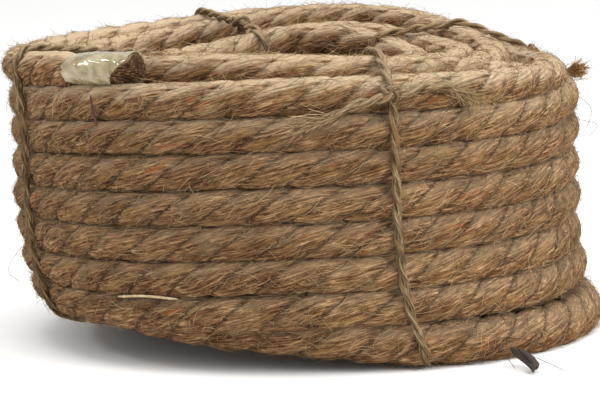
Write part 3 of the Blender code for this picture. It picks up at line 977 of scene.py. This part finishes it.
def knot_spot(flat, where):
    """The index of the point of a taut loop where its knot sits: the nearest to one distance or height."""
    distance, height = flat.T
    if where == "shoulder":
        off, allowed = height - 0.1235, distance > 0.05
    elif where == "top":
        off, allowed = distance - 0.026, height > COIL_HEIGHT * 0.8
    else:
        off, allowed = height - COIL_HEIGHT * 0.76, distance < 0.01
    return int(np.argmin(np.abs(off) + np.where(allowed, 0, 1)))


def knot_line(place, tangent, out, size):
    """The twine's path through a tight knot, seen from outside as three crossing bights."""
    side = np.cross(tangent, out)
    turn = np.linspace(0, TAU, 90)[:, None]
    across = np.sin(turn) + 2 * np.sin(2 * turn)
    along = 0.85 * (np.cos(turn) - 2 * np.cos(2 * turn))
    rise = 1.0 - np.sin(3 * turn)
    return place + size * (across * side + along * tangent + rise * out)


def smooth_route(points, count):
    """A smooth curve through the given points."""
    points = np.array(points)
    padded = np.concatenate([[2 * points[0] - points[1]], points, [2 * points[-1] - points[-2]]])
    place = np.linspace(0, len(points) - 1, count)
    i = np.minimum(place.astype(int), len(points) - 2)
    u = (place - i)[:, None]
    a, b, c, d = (padded[i + k] for k in range(4))
    return 0.5 * (2 * b + (c - a) * u + (2 * a - 5 * b + 4 * c - d) * u**2 + (3 * b - a - 3 * c + d) * u**3)


def lying(points, clear):
    """The points moved so that each lies on the rope's surface, and the way out from the rope there."""
    moved, away = [], []
    for p in points:
        distance = np.linalg.norm(ROPE.points - p, axis=1)
        nearest = ROPE.points[int(np.argmin(distance))]
        out = unit(p - nearest)
        moved.append(nearest + out * clear)
        away.append(out)
    return np.array(moved), np.array(away)


def tail(start, seed, node, route, radius, lift, fray, held, splay, tones, look):
    """A loose end of twine from its knot over the rope, its last stretch frayed into fibres."""
    planned = upright(*np.array(route).T)
    resting, out = lying(planned, 7.8 * MM + radius)
    share = np.linspace(0, 1, len(resting))[:, None]
    resting = resting * (1 - held) + planned * held + out * lift * share**1.5
    points = smooth_route([start, *resting], 40)
    name = f"{node}_twine"
    twine(name, points, smooth_route([out[0], *out], 40), node, radius, 24 * MM, seed, taper=0.75)
    rng = np.random.default_rng(seed)
    along = unit(points[-1] - points[-4])
    steps = np.linspace(0, 1, 6)[None, :, None]
    base = points[rng.integers(26, 40, fray)][:, None] + rng.normal(0, 0.5, (fray, 1, 3)) * radius
    far = along + rng.normal(0, splay, (fray, 1, 3))
    long = rng.uniform(4, 11, (fray, 1, 1)) * MM
    paths = base + far * long * steps + rng.normal(0, 5 * splay, (fray, 1, 3)) * MM * steps**2
    radii = rng.uniform(0.08, 0.17, fray) * MM
    brush = hairs(f"{name}_fray", leaned(paths), radii, rng.uniform(*tones, fray))
    dress(brush, look, "jute_twine")
    twine_fuzz(f"{name}_fuzz", points, 70, seed + 1, length=(2, 7), lift=0.8)


def make_tie(index, name, outer_angle, inner_angle, where, radius):
    """A loop round the coil, its knot and its loose ends."""
    points, flat, along = taut_loop(outer_angle, inner_angle)
    out = unit(in_plane(flat - flat.mean(axis=0), along))
    closed, closed_out = (np.concatenate([each, each[:1]]) for each in (points, out))
    twine(f"{name}_tie_twine", closed, closed_out, f"{name}_tie", radius, 21 * MM, 30 + index)
    twine_fuzz(f"{name}_tie_fuzz", points, 420, 60 + index)
    spot = knot_spot(flat, where)
    tangent = unit(points[(spot + 2) % len(points)] - points[spot - 2])
    normal = unit(out[spot] - tangent * (out[spot] @ tangent))
    knot = knot_line(points[spot], tangent, normal, 1.25 * MM)
    knot_out = knot - points[spot] + normal * 2 * MM
    twine(f"{name}_knot", knot, knot_out, f"{name}_tie_knot", 1.7 * MM, 14 * MM, 80 + index)
    twine_fuzz(f"{name}_knot_fuzz", knot, 110, 90 + index, length=(2, 6))
    for offset, loose_end in enumerate(TAILS[name]):
        tail(points[spot] + normal * 1.0 * MM, 110 + 7 * index + offset, *loose_end)


# --- stray bits and the studio ---

# Each stray bit: the piece, its look, half its thickness, and its routes as (angle, radius, height).
BITS = [
    ("bark_flake", BARK_LOOK, 2.1 * MM, [
        [(34.5, .1440, .0080), (34.0, .1560, .0040), (32.0, .1680, .0022)],
        [(35.5, .1450, .0070), (34.5, .1560, .0050), (33.4, .1650, .0022)],
    ]),
    ("bark_wires", DARK_HAIR_LOOK, 0.17 * MM, [
        [(34.0, .1380, .0120), (36.5, .1500, .0120), (39.5, .1560, .0080)],
        [(35.0, .1420, .0080), (36.0, .1600, .0040), (36.5, .1740, .0006)],
        [(33.0, .1400, .0100), (32.0, .1480, .0060), (31.5, .1560, .0010)],
    ]),
    ("pale_shive", SHIVE_LOOK, 0.75 * MM, [
        [(-39.0, .1345, .0336), (-32.0, .1353, .0352), (-25.0, .1347, .0346)],
    ]),
    ("red_splinter", SPLINTER_LOOK, 0.65 * MM, [
        [(-40.6, .1360, .1240), (-40.0, .1372, .1170), (-39.7, .1362, .1100)],
    ]),
    ("dark_hairs", DARK_HAIR_LOOK, 0.15 * MM, [
        [(-86.0, .1330, .0440), (-80.0, .1430, .0350), (-74.0, .1400, .0300)],
        [(86.0, .1345, .1090), (90.0, .1420, .1010), (88.0, .1390, .0910)],
        [(86.0, .1350, .0970), (83.0, .1440, .0950), (80.0, .1400, .0900)],
        [(-38.0, .1350, .0760), (-30.0, .1420, .0800), (-26.0, .1360, .0730)],
    ]),
    ("rusty_fibres", RUST_HAIR_LOOK, 0.15 * MM, [
        [(-8.0, .1345, .0660), (-5.0, .1358, .0680), (-3.0, .1345, .0695)],
        [(-46.0, .1350, .0560), (-43.0, .1358, .0572), (-41.0, .1345, .0590)],
    ]),
]


def make_bits():
    """Bits of plant caught in the rope and loose dark fibres."""
    for name, look, radius, routes in BITS:
        paths = np.stack([smooth_route(upright(*np.array(route).T), 10) for route in routes])
        made = hairs(name, leaned(paths), np.full(len(routes), radius), np.linspace(0.2, 0.7, len(routes)))
        dress(made, look, "jute_rope")


# Each lamp: its name, place, the point that it faces, how wide it is and its power in watts.
LAMPS = [
    ("top_light", (0.05, -0.25, 1.3), (0.0, 0.0, 0.05), 1.1, 12.0),
    ("front_light", (1.25, -0.85, 0.6), (0.0, 0.0, 0.06), 0.8, 15.0),
    ("spot_light", (-0.95, 0.0, 0.70), (-0.1, -0.1, 0.12), 0.12, 1.6),
]


def make_studio():
    """A pale floor, even light from all round, and three soft lamps."""
    half = 6.0
    corners = [(-half, -half, 0), (half, -half, 0), (half, half, 0), (-half, half, 0)]
    floor_mesh = bpy.data.meshes.new("floor")
    floor_mesh.from_pydata(corners, [], [(0, 1, 2, 3)])
    floor_look, _, shader = nodes_of("pale_floor", 0.9)
    shader.inputs["Base Color"].default_value = (0.92, 0.92, 0.91, 1.0)
    floor_mesh.materials.append(floor_look)
    placed("floor", floor_mesh)
    world = bpy.data.worlds.new("studio")
    world.use_nodes = True
    back = world.node_tree.nodes["Background"]
    back.inputs["Color"].default_value = (1.0, 1.0, 1.0, 1.0)
    back.inputs["Strength"].default_value = 1.0
    bpy.context.scene.world = world
    for name, place, target, size, power in LAMPS:
        lamp = placed(name, bpy.data.lights.new(name, "AREA"))
        lamp.data.size = size
        lamp.data.energy = power
        lamp.location = place
        lamp.rotation_euler = (Vector(place) - Vector(target)).to_track_quat("Z", "Y").to_euler()
    bpy.context.scene.view_settings.view_transform = "Standard"


make_rope()
make_rope_fuzz()
for tie_index, (tie_name, tie) in enumerate(TIES.items()):
    make_tie(tie_index, tie_name, *tie)
make_bits()
make_studio()
